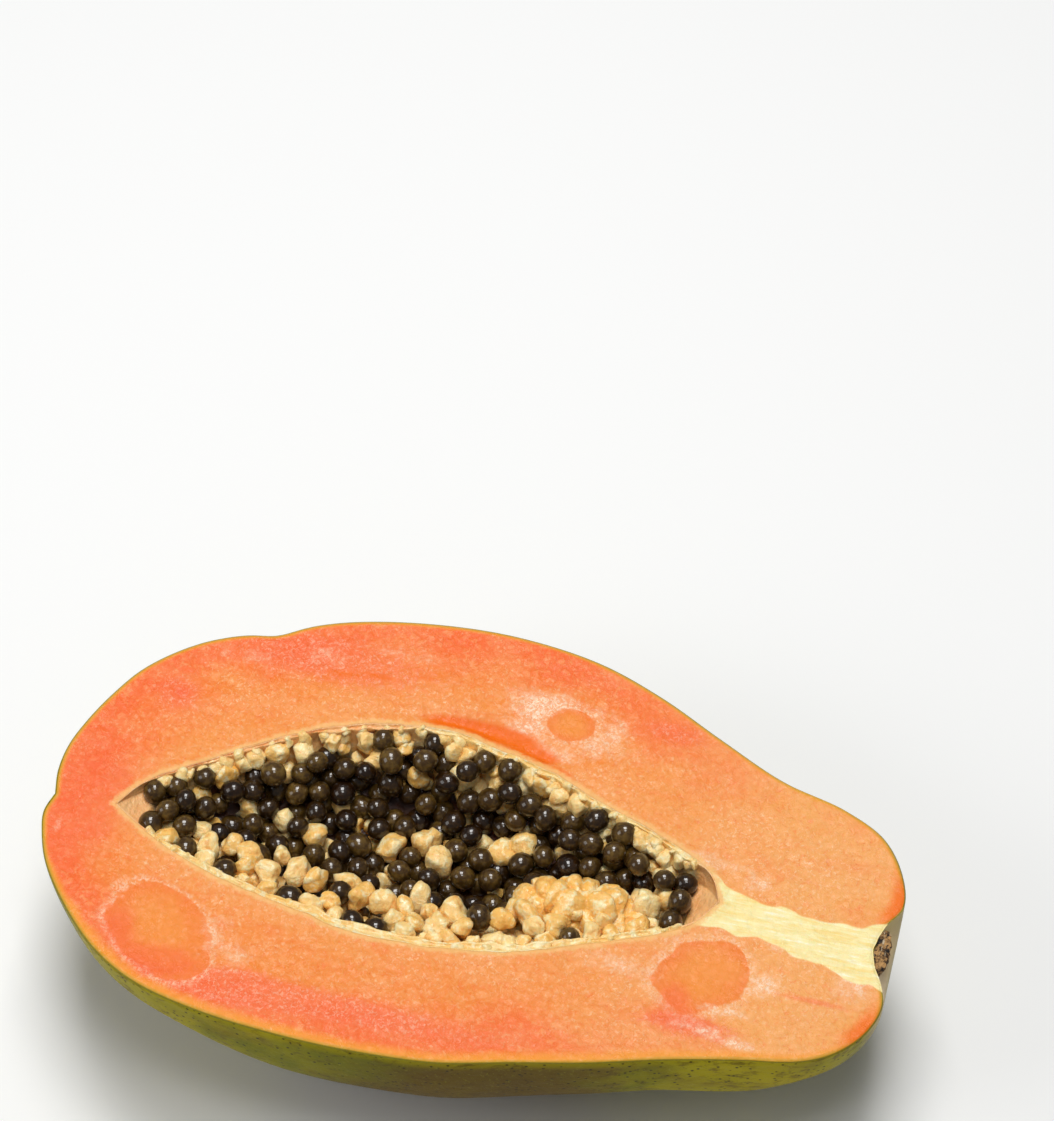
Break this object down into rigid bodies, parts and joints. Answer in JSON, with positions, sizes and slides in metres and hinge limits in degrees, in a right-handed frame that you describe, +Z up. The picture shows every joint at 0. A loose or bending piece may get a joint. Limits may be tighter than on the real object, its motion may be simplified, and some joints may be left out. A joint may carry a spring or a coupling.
{
  "type": "halved papaya",
  "caption": "Pear-shaped ripe papaya half lying on its skin: flat orange cut face, open hollow lined with pale pulp and dark glossy seeds, corky stalk pit at one end.",
  "frame": {"origin": "on the surface the fruit rests on, under the middle of its outline", "axes": "+X along the fruit towards the stalk end, +Y across it, +Z up, out of the cut face"},
  "size_m": [0.2176, 0.1283, 0.054],
  "materials": {
    "flesh": "moist orange flesh with a thin green and yellow waxy skin",
    "pulp": "moist pale yellow pulp",
    "seed": "wet, glossy, dark olive brown",
    "cork": "dry and crumbly"
  },
  "bodies": {
    "root": {"fruit_wall": "flesh", "pulp_lining": "pulp", "seeds": "seed", "stalk_plug": "cork"}
  },
  "joints": []
}
